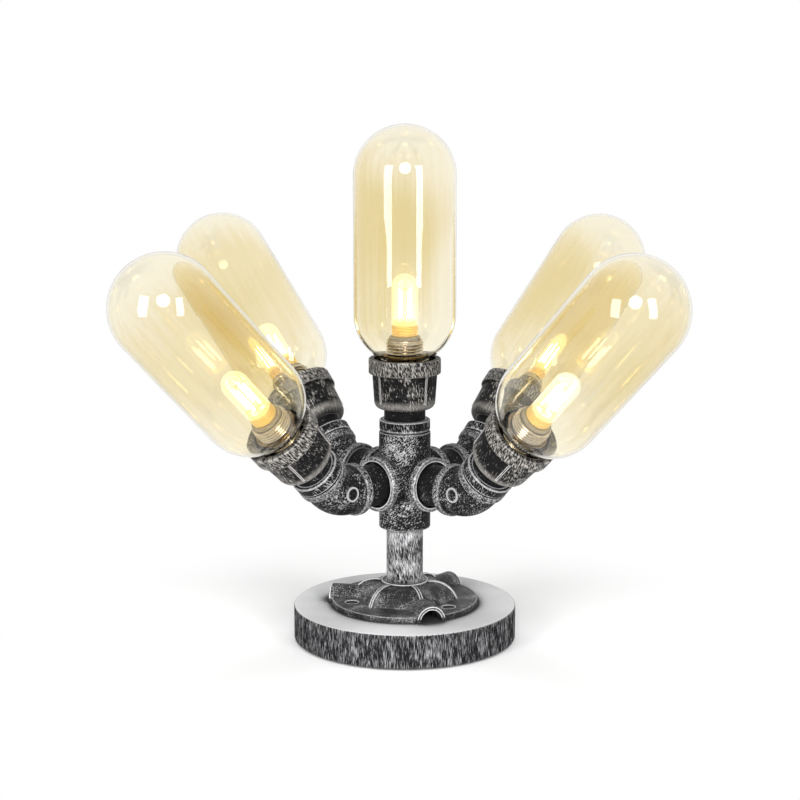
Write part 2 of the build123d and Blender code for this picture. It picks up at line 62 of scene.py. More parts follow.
class Signal:
    """A node's output socket that takes part in Python arithmetic."""

    def __init__(self, sheet: "Sheet", socket: bpy.types.NodeSocket) -> None:
        """Keeps the socket and the sheet that it belongs to."""
        self.sheet = sheet
        self.socket = socket

    def _maths(self, operation: str, first: Operand, second: Operand = 0.0) -> "Signal":
        """Adds one Math node for an operation on two values."""
        node = self.sheet.node("ShaderNodeMath", {"operation": operation}, {0: first, 1: second})
        return Signal(self.sheet, node.outputs[0])

    def __add__(self, other: Operand) -> "Signal":
        """Sum."""
        return self._maths("ADD", self, other)

    def __radd__(self, other: Operand) -> "Signal":
        """Sum with a number on the left."""
        return self._maths("ADD", other, self)

    def __sub__(self, other: Operand) -> "Signal":
        """Difference."""
        return self._maths("SUBTRACT", self, other)

    def __rsub__(self, other: Operand) -> "Signal":
        """Difference with a number on the left."""
        return self._maths("SUBTRACT", other, self)

    def __mul__(self, other: Operand) -> "Signal":
        """Product."""
        return self._maths("MULTIPLY", self, other)

    def __rmul__(self, other: Operand) -> "Signal":
        """Product with a number on the left."""
        return self._maths("MULTIPLY", other, self)

    def __truediv__(self, other: Operand) -> "Signal":
        """Quotient."""
        return self._maths("DIVIDE", self, other)

    def __pow__(self, other: Operand) -> "Signal":
        """Power."""
        return self._maths("POWER", self, other)

    def larger(self, other: Operand) -> "Signal":
        """The larger of two values."""
        return self._maths("MAXIMUM", self, other)

    def angle_to(self, other: Operand) -> "Signal":
        """Angle of the point (other, self) about the origin, in radians."""
        return self._maths("ARCTAN2", self, other)

    def between(self, low: float, high: float) -> "Signal":
        """Rises smoothly from 0 at low to 1 at high.

        Args:
            low: Value that gives 0.
            high: Value that gives 1.

        Returns:
            The eased value.
        """
        node = self.sheet.node("ShaderNodeMapRange", {"interpolation_type": "SMOOTHSTEP"},
                               {"Value": self, "From Min": low, "From Max": high})
        return Signal(self.sheet, node.outputs["Result"])


class Sheet:
    """One node tree, of a material or of the world, filled node by node."""

    def __init__(self, owner: bpy.types.Material | bpy.types.World, output: str) -> None:
        """Empties the owner's tree and gives it its output node.

        Args:
            owner: The material or world that holds the tree.
            output: Blender's name of the output node's type.
        """
        owner.use_nodes = True
        self.owner = owner
        self.tree = owner.node_tree
        self.tree.nodes.clear()
        self.output = self.node(output)

    @classmethod
    def for_material(cls, name: str) -> "Sheet":
        """A sheet for a new material."""
        return cls(bpy.data.materials.new(name), "ShaderNodeOutputMaterial")

    @classmethod
    def for_world(cls, name: str) -> "Sheet":
        """A sheet for a new world."""
        return cls(bpy.data.worlds.new(name), "ShaderNodeOutputWorld")

    def node(self, kind: str, settings: dict[str, Any] | None = None,
             sockets: dict[Any, Any] | None = None) -> bpy.types.Node:
        """Adds a node.

        Args:
            kind: Blender's name of the node type.
            settings: Properties to set first.
            sockets: Values or links of its inputs, by name or number.

        Returns:
            The new node.
        """
        new = self.tree.nodes.new(kind)
        for key, value in (settings or {}).items():
            setattr(new, key, value)
        for key, value in (sockets or {}).items():
            if isinstance(value, Signal):
                self.tree.links.new(value.socket, new.inputs[key])
            else:
                new.inputs[key].default_value = value
        return new

    def out(self, new: bpy.types.Node, socket: str | int = 0) -> Signal:
        """One output of a node as a signal."""
        return Signal(self, new.outputs[socket])

    def place(self) -> Signal:
        """The surface point in the object's own frame, which stays put when a body moves."""
        return self.out(self.node("ShaderNodeTexCoord"), "Object")

    def local(self, pose: Matrix) -> Signal:
        """The surface point in the frame of a pose.

        Args:
            pose: Where the frame stands in the lamp's frame.

        Returns:
            The point's coordinates along the pose's axes.
        """
        mapping = self.node("ShaderNodeMapping", {"vector_type": "TEXTURE"},
                            {"Vector": self.place(), "Location": pose.to_translation(),
                             "Rotation": pose.to_euler()})
        return self.out(mapping)

    def split(self, vector: Signal) -> tuple[Signal, Signal, Signal]:
        """The three parts of a vector."""
        node = self.node("ShaderNodeSeparateXYZ", None, {0: vector})
        return self.out(node, 0), self.out(node, 1), self.out(node, 2)

    def along(self, vector: Signal, axis: Axis) -> Signal:
        """How far a vector reaches along an axis."""
        node = self.node("ShaderNodeVectorMath", {"operation": "DOT_PRODUCT"}, {0: vector, 1: axis})
        return self.out(node, "Value")

    def join(self, x: Operand, y: Operand, z: Operand) -> Signal:
        """A vector from three values."""
        return self.out(self.node("ShaderNodeCombineXYZ", None, {0: x, 1: y, 2: z}))

    def noise(self, vector: Signal, scale: float, detail: float = 3.0, rough: float = 0.55) -> Signal:
        """Cloudy value from 0 to 1.

        Args:
            vector: Where it is looked up.
            scale: How many clouds to a metre, or to a unit of the vector.
            detail: Octaves.
            rough: How much the fine octaves count.

        Returns:
            The noise value.
        """
        node = self.node("ShaderNodeTexNoise", {"noise_dimensions": "3D"},
                         {"Vector": vector, "Scale": scale, "Detail": detail, "Roughness": rough})
        return self.out(node, 0)

    def blend(self, amount: Operand, first: Any, second: Any) -> Signal:
        """Mixes two colours.

        Args:
            amount: 0 gives the first, 1 the second.
            first: Colour or signal.
            second: Colour or signal.

        Returns:
            The mixed colour.
        """
        values = [(*c, 1.0) if isinstance(c, tuple) else c for c in (first, second)]
        node = self.node("ShaderNodeMix", {"data_type": "RGBA"}, dict(zip(MIX_INPUTS, (amount, *values))))
        return self.out(node, MIX_RESULT)

    def worn_edges(self, reach: float) -> Signal:
        """Highest along outward edges, fading to 0 over reach metres."""
        node = self.node("ShaderNodeAmbientOcclusion",
                         {"samples": OCCLUSION_SAMPLES, "inside": True, "only_local": True}, {"Distance": reach})
        return 1.0 - self.out(node, "AO")

    def crevices(self, reach: float) -> Signal:
        """1 in tight corners, fading to 0 over reach metres."""
        node = self.node("ShaderNodeAmbientOcclusion", {"samples": OCCLUSION_SAMPLES}, {"Distance": reach})
        return 1.0 - self.out(node, "AO")

    def bump(self, height: Signal, distance: float, strength: float) -> Signal:
        """Surface normal roughened by a height, in metres of distance."""
        node = self.node("ShaderNodeBump", None,
                         {"Height": height, "Distance": distance, "Strength": strength})
        return self.out(node)

    def seen(self) -> Signal:
        """1 for rays from the camera, from gloss and through glass, and 0 for light on matt surfaces."""
        path = self.node("ShaderNodeLightPath")
        direct = self.out(path, "Is Camera Ray").larger(self.out(path, "Is Glossy Ray"))
        return direct.larger(self.out(path, "Is Transmission Ray"))

    def mixed(self, amount: Signal, first: Signal, second: Signal) -> Signal:
        """Mixes two shaders.

        Args:
            amount: 0 gives the first, 1 the second.
            first: Shader.
            second: Shader.

        Returns:
            The mixed shader.
        """
        return self.out(self.node("ShaderNodeMixShader", None, {0: amount, 1: first, 2: second}))

    def close(self, shader: Signal) -> bpy.types.Material | bpy.types.World:
        """Links a shader to the output and hands over the owner."""
        self.tree.links.new(shader.socket, self.output.inputs["Surface"])
        return self.owner

    def surface(self, **sockets: Any) -> bpy.types.Material:
        """Ends the sheet in one Principled shader.

        Args:
            sockets: Its inputs, with spaces written as underscores.

        Returns:
            The finished material.
        """
        named = {key.replace("_", " "): value for key, value in sockets.items()}
        return self.close(self.out(self.node("ShaderNodeBsdfPrincipled", None, named)))


class Rub(Enum):
    """Which way the silver was rubbed over the black coat."""

    SPECKLED = "in short flecks all over"
    UPRIGHT = "in ticks along the piece's axis"


@dataclass(frozen=True)
class Band:
    """A stretch along a piece where more silver was rubbed on."""

    low: float
    high: float
    gain: float
    soft: float = 0.0004
    ticks: float = 0.85
    axis: Axis = (0.0, 0.0, 1.0)
    tick_range: Point = (0.43, 0.66)

    def cover(self, sheet: Sheet, spot: Signal, flecks: Signal) -> Signal:
        """How much silver the band adds.

        Args:
            sheet: The material's sheet.
            spot: The point in the piece's frame.
            flecks: Noise that the flecks are cut from.

        Returns:
            The gain inside the band, broken up by flecks, and 0 away from it.
        """
        place = sheet.along(spot, self.axis) + (flecks - 0.5) * self.soft
        rise = place.between(self.low - self.soft, self.low + self.soft)
        fall = place.between(self.high - self.soft, self.high + self.soft)
        broken = (1.0 - self.ticks) + self.ticks * flecks.between(*self.tick_range)
        return (rise - fall) * broken * self.gain


@dataclass(frozen=True)
class RubbedIron:
    """Black coated iron with silver rubbed over its edges and high spots."""

    name: str
    pose: Matrix
    rub: Rub = Rub.SPECKLED
    cover: float = 0.25
    silver: Colour = (0.66, 0.66, 0.67)
    coat: Colour = (0.006, 0.006, 0.0065)
    bright: Colour = (0.84, 0.84, 0.85)
    fleck: float = 0.0007
    stretch: float = 5.0
    lean: float = 0.2
    girth: float = 0.02
    patch: float = 0.015
    drift: float = 0.45
    edge_reach: float = 0.0012
    edge_low: float = -1.0
    edge_gain: float = 1.0
    soft: float = 0.085
    gloss: float = 0.07
    bands: tuple[Band, ...] = ()
    grain_scale: float = 2600.0
    half_cover: float = 0.525
    cover_step: float = 0.4
    crevice: float = 0.004
    crevice_range: Point = (0.25, 0.7)
    worn_range: Point = (0.11, 0.3)
    metal_share: float = 0.45
    roughness: float = 0.44
    roughness_play: float = 0.08
    relief: float = 0.0003

    def make(self) -> bpy.types.Material:
        """Builds the material.

        Returns:
            The finished material.
        """
        sheet = Sheet.for_material(self.name)
        spot = sheet.local(self.pose)
        x, y, z = sheet.split(spot)
        flecks = self._flecks(sheet, x, y, z)
        patches = sheet.noise(spot, 1.0 / self.patch, 2.0)
        grain = sheet.noise(spot, self.grain_scale, 2.0)
        middle = self.half_cover + self.cover_step * (0.5 - self.cover)
        cloudy = flecks + (patches - 0.5) * self.drift
        rubbed = cloudy.between(middle - self.soft, middle + self.soft) * (0.25 + 0.9 * grain)
        for band in self.bands:
            rubbed = rubbed.larger(band.cover(sheet, spot, flecks))
        clean = 1.0 - sheet.crevices(self.crevice).between(*self.crevice_range)
        worn = sheet.worn_edges(self.edge_reach) * (0.25 + 1.3 * flecks)
        above = z.between(self.edge_low, self.edge_low + self.edge_reach)
        edges = worn.between(*self.worn_range) * clean * above * self.edge_gain
        silver = (rubbed * clean).larger(edges)
        tone = sheet.blend(edges, self.silver, self.bright)
        rough = self.roughness - silver * self.roughness_play + grain * self.roughness_play
        return sheet.surface(Base_Color=sheet.blend(silver, self.coat, tone), Metallic=silver * self.metal_share,
                             Roughness=rough, Specular_IOR_Level=self.gloss,
                             Normal=sheet.bump(grain * 0.4 + silver * 0.6, self.relief, 0.7))

    def _flecks(self, sheet: Sheet, x: Signal, y: Signal, z: Signal) -> Signal:
        """Noise that the flecks of silver are cut from.

        Args:
            sheet: The material's sheet.
            x: The point's place across the piece.
            y: Its place in depth.
            z: Its place along the axis.

        Returns:
            A value about 0.5, higher where a fleck lies.
        """
        cell = 2.0 * self.fleck
        if self.rub is Rub.SPECKLED:
            slanted = sheet.join((x + z) / (cell * 1.6), y / cell, (z - x) / (cell * 0.7))
            return sheet.noise(slanted, 1.0, 3.0, 0.7)
        around = y.angle_to(x) * (self.girth / cell) + z * (self.lean / cell)
        return sheet.noise(sheet.join(around, z / (cell * self.stretch), 0.0), 1.0, 3.0, 0.65)


@dataclass(frozen=True)
class DiscIron:
    """The base disc: matt grey top with a painted shadow and reflection of the flange darkening it round the flange,
    and a black side with upright silver strokes.
    """

    name: str
    radius: float = 0.0762
    top: Colour = (0.67, 0.67, 0.675)
    top_shade: Colour = (0.6, 0.6, 0.605)
    coat: Colour = (0.012, 0.012, 0.013)
    silver: Colour = (0.46, 0.46, 0.47)
    stroke: float = 0.0003
    stroke_length: float = 0.007
    stroke_range: Point = (0.47, 0.68)
    edge_reach: float = 0.0016
    edge_range: Point = (0.14, 0.42)
    flat_range: Point = (0.6, 0.95)
    # painted shadow and reflection of the flange on the top: how far it reaches, its occlusion range and how dark it
    # gets
    painted_shadow_reach: float = 0.03
    painted_shadow_range: Point = (0.015, 0.28)
    painted_shadow_depth: float = 0.94
    grain_scale: float = 2000.0
    cloud_scale: float = 26.0
    metal_share: float = 0.45
    relief: float = 0.0003

    def make(self) -> bpy.types.Material:
        """Builds the material.

        Returns:
            The finished material.
        """
        sheet = Sheet.for_material(self.name)
        spot = sheet.place()
        x, y, z = sheet.split(spot)
        cell = 2.0 * self.stroke
        around = y.angle_to(x) * (self.radius / cell)
        fine = sheet.noise(sheet.join(around, z / self.stroke_length, 0.0), 1.0, 3.0, 0.65)
        broad = sheet.noise(sheet.join(around * 0.12, z / (self.stroke_length * 3.0), 4.0), 1.0, 2.0)
        grain = sheet.noise(spot, self.grain_scale, 2.0)
        strokes = (fine + (broad - 0.5) * 0.4).between(*self.stroke_range) * (0.25 + 0.85 * grain)
        edge = (sheet.worn_edges(self.edge_reach) * (0.4 + fine)).between(*self.edge_range)
        side = strokes.larger(edge * 0.75)
        _, _, up = sheet.split(sheet.out(sheet.node("ShaderNodeNewGeometry"), "Normal"))
        flat = up.between(*self.flat_range)
        cloud = sheet.noise(spot, self.cloud_scale, 3.0)
        # painted shadow and reflection: the top turns towards the coat colour near the flange
        painted_flange_shadow = sheet.crevices(self.painted_shadow_reach).between(*self.painted_shadow_range) * self.painted_shadow_depth
        matt = sheet.blend(cloud.between(0.3, 0.7), self.top, self.top_shade)
        top_with_painted_shadow = sheet.blend(painted_flange_shadow, matt, self.coat)
        colour = sheet.blend(flat, sheet.blend(side, self.coat, self.silver), top_with_painted_shadow)
        metal = (1.0 - flat) * side * self.metal_share
        rough = 0.42 + flat * 0.2 + grain * 0.08
        height = (1.0 - flat) * side + grain * 0.14
        return sheet.surface(Base_Color=colour, Metallic=metal, Roughness=rough, Specular_IOR_Level=0.0,
                             Normal=sheet.bump(height, self.relief, 0.6))


@dataclass(frozen=True)
class PlainFinish:
    """A solid colour with grain: rubber, plastic, plated or blackened metal, with painted shade in its grooves where
    groove is set.
    """

    name: str
    colour: Colour
    shade: Colour
    roughness: float
    metallic: float = 0.0
    scale: float = 900.0
    relief: float = 0.0001
    # groove: reach of the painted shade that darkens grooves and tight corners, 0 for none
    groove: float = 0.0
    groove_range: Point = (0.12, 0.6)
    groove_shade_colour: Colour = (0.02, 0.014, 0.008)

    def make(self) -> bpy.types.Material:
        """Builds the material.

        Returns:
            The finished material.
        """
        sheet = Sheet.for_material(self.name)
        spot = sheet.place()
        grain = sheet.noise(spot, self.scale, 3.0)
        cloud = sheet.noise(spot, self.scale * 0.08, 2.0)
        mix = (grain * 0.5 + cloud * 0.5).between(0.35, 0.65)
        colour = sheet.blend(mix, self.colour, self.shade)
        if self.groove > 0.0:
            # painted shade: the colour darkens in grooves and tight corners
            painted_groove_shade = sheet.crevices(self.groove).between(*self.groove_range)
            colour = sheet.blend(painted_groove_shade, colour, self.groove_shade_colour)
        return sheet.surface(Base_Color=colour, Metallic=self.metallic,
                             Roughness=self.roughness + grain * 0.12 - 0.06,
                             Normal=sheet.bump(grain, self.relief, 0.6))


@dataclass(frozen=True)
class GlassFinish:
    """Blown glass, tinted, thinner and paler in places, with a faint waviness."""

    name: str
    tint: Colour
    pale: Colour
    edge: Colour
    pose: Matrix = field(default_factory=lambda: Matrix.Identity(4))
    ior: float = 1.52
    middle: float = 0.11
    ends: float = 0.0
    streak: float = 260.0
    glow: Colour = (0.0, 0.0, 0.0)
    glow_strength: float = 0.0
    wave_scale: float = 26.0
    wave_height: float = 0.0004
    cloud_scale: float = 11.0
    side_lean: float = 5.0
    tone_range: Point = (0.3, 0.75)
    grazing_range: Point = (0.76, 1.0)

    def make(self) -> bpy.types.Material:
        """Builds the material.

        Returns:
            The finished material.
        """
        sheet = Sheet.for_material(self.name)
        spot = sheet.local(self.pose)
        wave = sheet.noise(spot, self.wave_scale, 1.0)
        x, y, z = sheet.split(spot)
        away = z - self.middle
        streaks = sheet.noise(sheet.join(x * self.streak, y * self.streak, z), 1.0, 2.0)
        cloud = sheet.noise(spot, self.cloud_scale, 1.0) + 0.35 * (streaks - 0.5)
        tone = (cloud + x * self.side_lean + away * away * self.ends).between(*self.tone_range)
        grazing = sheet.out(sheet.node("ShaderNodeLayerWeight"), "Facing").between(*self.grazing_range)
        colour = sheet.blend(grazing, sheet.blend(tone, self.tint, self.pale), self.edge)
        return sheet.surface(Base_Color=colour, Roughness=0.0, IOR=self.ior,
                             Transmission_Weight=1.0, Emission_Color=(*self.glow, 1.0),
                             Emission_Strength=self.glow_strength, Normal=sheet.bump(wave, self.wave_height, 0.25))


@dataclass(frozen=True)
class GlowFinish:
    """Phosphor that shines by itself, or metal with a painted glow, hotter in places."""

    name: str
    colour: Colour
    hot: Colour
    strength: float
    metallic: float = 0.0
    roughness: float = 0.35
    grain_scale: float = 700.0

    def make(self) -> bpy.types.Material:
        """Builds the material.

        Returns:
            The finished material.
        """
        sheet = Sheet.for_material(self.name)
        grain = sheet.noise(sheet.place(), self.grain_scale, 2.0)
        colour = sheet.blend(grain.between(0.3, 0.7), self.hot, self.colour)
        return sheet.surface(Base_Color=colour, Metallic=self.metallic, Roughness=self.roughness,
                             Emission_Color=colour, Emission_Strength=self.strength)


def arc(centre: Point, radius: float, start: float, end: float, steps: int) -> list[Point]:
    """Points along a circular arc in a half section.

    Args:
        centre: Radius and height of the arc's centre.
        radius: The arc's radius.
        start: First angle in degrees, from the outward direction.
        end: Last angle in degrees.
        steps: How many pieces the arc is cut into.

    Returns:
        The points, ends included.
    """
    turns = [radians(start + (end - start) * i / steps) for i in range(steps + 1)]
    return [(centre[0] + radius * cos(t), centre[1] + radius * sin(t)) for t in turns]


def finish_mesh(name: str, mesh: bmesh.types.BMesh, pose: Matrix) -> bpy.types.Object:
    """Turns a bmesh into a smooth object that stands at a pose.

    Args:
        name: The piece's name.
        mesh: Its geometry in its own frame; freed here.
        pose: Where the frame stands.

    Returns:
        The new object.
    """
    bmesh.ops.remove_doubles(mesh, verts=mesh.verts, dist=SAME_POINT)
    bmesh.ops.recalc_face_normals(mesh, faces=mesh.faces)
    bmesh.ops.transform(mesh, matrix=pose, verts=mesh.verts)
    data = bpy.data.meshes.new(name)
    mesh.to_mesh(data)
    mesh.free()
    data.polygons.foreach_set("use_smooth", [True] * len(data.polygons))
    data.set_sharp_from_angle(angle=radians(SHARP_ANGLE))
    thing = bpy.data.objects.new(name, data)
    bpy.context.scene.collection.objects.link(thing)
    return thing


def turned(mesh: bmesh.types.BMesh, section: list[Point], segments: int) -> None:
    """Adds a body turned about the Z axis to a bmesh.

    Args:
        mesh: Where it goes.
        section: Its closed half section, radius and height.
        segments: How many faces go round.
    """
    rings = []
    for number in range(segments):
        angle = tau * number / segments
        rings.append([mesh.verts.new((r * cos(angle), r * sin(angle), z)) for r, z in section])
    count = len(section)
    for number, ring in enumerate(rings):
        after = rings[(number + 1) % segments]
        for i in range(count):
            j = (i + 1) % count
            if section[i][0] < ON_AXIS and section[j][0] < ON_AXIS:
                continue
            mesh.faces.new((ring[i], after[i], after[j], ring[j]))


def bar(mesh: bmesh.types.BMesh, start: Vector, end: Vector, radius: float, sides: int = 10) -> None:
    """Adds a round bar with softened ends to a bmesh.

    Args:
        mesh: Where it goes.
        start: One end of its axis.
        end: The other end.
        radius: Its radius.
        sides: How many faces go round.
    """
    along = end - start
    length = along.length
    turn = along.to_track_quat("Z", "Y").to_matrix().to_4x4()
    turn.translation = start
    section = [(0.0, 0.0), (radius * 0.6, 0.0), (radius, radius * 0.5), (radius, length - radius * 0.5),
               (radius * 0.6, length), (0.0, length)]
    before = set(mesh.verts)
    turned(mesh, section, sides)
    bmesh.ops.transform(mesh, matrix=turn, verts=[v for v in mesh.verts if v not in before])


def dress(thing: bpy.types.Object, finish: bpy.types.Material, body: str,
          nodes: Iterable[str] = ()) -> None:
    """Gives a new piece its finish, its body and the CAD nodes that it stands for.

    Args:
        thing: The piece.
        finish: Its material.
        body: The body it moves with.
        nodes: CAD nodes that it replaces.
    """
    thing.data.materials.clear()
    thing.data.materials.append(finish)
    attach(thing, body)
    for node in nodes:
        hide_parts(node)
    log.info("piece %s on %s", thing.name, body)


def paint(nodes: Iterable[str], finish: bpy.types.Material) -> None:
    """Gives CAD nodes that stay in view a better material.

    Args:
        nodes: Their names.
        finish: The material.
    """
    for node in nodes:
        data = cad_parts[node].data
        data.materials.clear()
        data.materials.append(finish)
        log.info("node %s painted %s", node, finish.name)


@dataclass
class Shade:
    """One amber capsule shade, blown as a single shell whose neck drops into the cup."""

    name: str
    pose: Matrix
    rim_height: float = 0.0344
    neck_end: float = 0.0234
    radius: float = 0.0345
    straight: float = 0.092
    wall: float = 0.0015
    neck_radius: float = 0.0175
    throat: float = 0.0025
    segments: int = 128
    throat_steps: int = 8
    bowl_steps: int = 24
    straight_steps: int = 10
    dome_steps: int = 32

    def build(self, glass: bpy.types.Material) -> None:
        """Turns the shell and lets it stand for its CAD node.

        Args:
            glass: Its material.
        """
        low = self.rim_height + sqrt(self.radius ** 2 - self.neck_radius ** 2)
        high = low + self.straight
        half = self.wall / 2
        outer = self._face(self.radius, self.neck_radius, self.throat - half, low, high)
        inner = self._face(self.radius - self.wall, self.neck_radius - self.wall, self.throat + half, low, high)
        lip = [(self.neck_radius - half, self.neck_end - self.wall * 0.1)]
        mesh = bmesh.new()
        turned(mesh, outer + inner[::-1] + lip, self.segments)
        dress(finish_mesh(f"amber_shade_{self.name}", mesh, self.pose), glass, f"globe_{self.name}",
              [f"shade_{self.name}"])

    def _face(self, radius: float, neck: float, bend: float, low: float, high: float) -> list[Point]:
        """One face of the wall from the neck's end to the tip.

        Args:
            radius: Radius of the capsule's face.
            neck: Radius of the neck's face.
            bend: Radius of the throat between them.
            low: Height of the lower dome's centre.
            high: Height of the upper dome's centre.

        Returns:
            Points of the half section.
        """
        reach = sqrt((radius + bend) ** 2 - (neck + bend) ** 2)
        turn = degrees(acos((neck + bend) / (radius + bend)))
        throat = arc((neck + bend, low - reach), bend, 180.0, 180.0 - turn, self.throat_steps)
        bowl = arc((0.0, low), radius, -turn, 0.0, self.bowl_steps)
        steps = self.straight_steps
        straight = [(radius, low + (high - low) * i / steps) for i in range(1, steps)]
        dome = arc((0.0, high), radius, 0.0, 90.0, self.dome_steps)
        return [(neck, self.neck_end)] + throat + bowl + straight + dome[:-1] + [(0.0, high + radius)]


@dataclass
class Lampholder:
    """The flanged holder with a rolled thread, a ring nut and a porcelain nose."""

    name: str
    body: str
    pose: Matrix
    floor: float = 0.012
    top: float = 0.0494
    radius: float = 0.0127
    flange_radius: float = 0.0145
    flange_height: float = 0.003
    nose_radius: float = 0.0105
    nose_height: float = 0.0025
    pitch: float = 0.0021
    depth: float = 0.0009
    run_out: float = 0.002
    nut_radius: float = 0.0148
    nut_low: float = 0.0354
    nut_height: float = 0.0018
    flange_edge: float = 0.2
    nose_edge: float = 0.3
    nose_steps: int = 5
    nut_edge: float = 0.25
    thread_rows: int = 120
    segments: int = 72

    def build(self, metal: bpy.types.Material, brass: bpy.types.Material, porcelain: bpy.types.Material) -> None:
        """Makes the skirt, the ring nut and the nose.

        Args:
            metal: Finish of the skirt.
            brass: Finish of the ring nut.
            porcelain: Finish of the nose.
        """
        base, top = self.floor + self.flange_height, self.top - self.nose_height
        skirt = bmesh.new()
        self._roll_thread(skirt, base, top)
        edge = self.flange_height * self.flange_edge
        turned(skirt, [(0.0, self.floor), (self.flange_radius, self.floor), (self.flange_radius, base - edge),
                       (self.flange_radius - edge, base), (0.0, base)], self.segments)
        dress(finish_mesh(f"holder_skirt_{self.name}", skirt, self.pose), metal, self.body,
              [f"lampholder_{self.name}"])
        self._build_nut(brass)
        nose = bmesh.new()
        soft = self.nose_height * self.nose_edge
        section = [(0.0, top), (self.nose_radius, top)]
        section += arc((self.nose_radius - soft, self.top - soft), soft, 0.0, 90.0, self.nose_steps)
        section += [(0.0, self.top)]
        turned(nose, section, self.segments)
        dress(finish_mesh(f"holder_nose_{self.name}", nose, self.pose), porcelain, self.body)

    def _roll_thread(self, mesh: bmesh.types.BMesh, base: float, top: float) -> None:
        """Adds the skirt's barrel with a helical rolled thread, closed at both ends.

        Args:
            mesh: Where it goes.
            base: Height of its lower end.
            top: Height of its upper end.
        """
        root = self.radius - self.depth
        rings = []
        for row in range(self.thread_rows + 1):
            z = base + (top - base) * row / self.thread_rows
            fade = max(0.0, min(1.0, (top - z) / self.run_out, (z - base) / self.run_out))
            ring = []
            for i in range(self.segments):
                angle = tau * i / self.segments
                crest = 0.5 - 0.5 * cos(tau * z / self.pitch - angle)
                r = root + self.depth * crest * fade
                ring.append(mesh.verts.new((r * cos(angle), r * sin(angle), z)))
            rings.append(ring)
        for lower, upper in zip(rings, rings[1:]):
            for i in range(self.segments):
                j = (i + 1) % self.segments
                mesh.faces.new((lower[i], lower[j], upper[j], upper[i]))
        mesh.faces.new(rings[0][::-1])
        mesh.faces.new(rings[-1])

    def _build_nut(self, brass: bpy.types.Material) -> None:
        """Turns the ring nut that lies just above the cup's rim."""
        inner, outer, high = self.radius - self.depth, self.nut_radius, self.nut_low + self.nut_height
        soft = self.nut_height * self.nut_edge
        nut = bmesh.new()
        turned(nut, [(inner, self.nut_low), (outer - soft, self.nut_low), (outer, self.nut_low + soft),
                     (outer, high - soft), (outer - soft, high), (inner, high)], self.segments)
        dress(finish_mesh(f"holder_nut_{self.name}", nut, self.pose), brass, self.body)


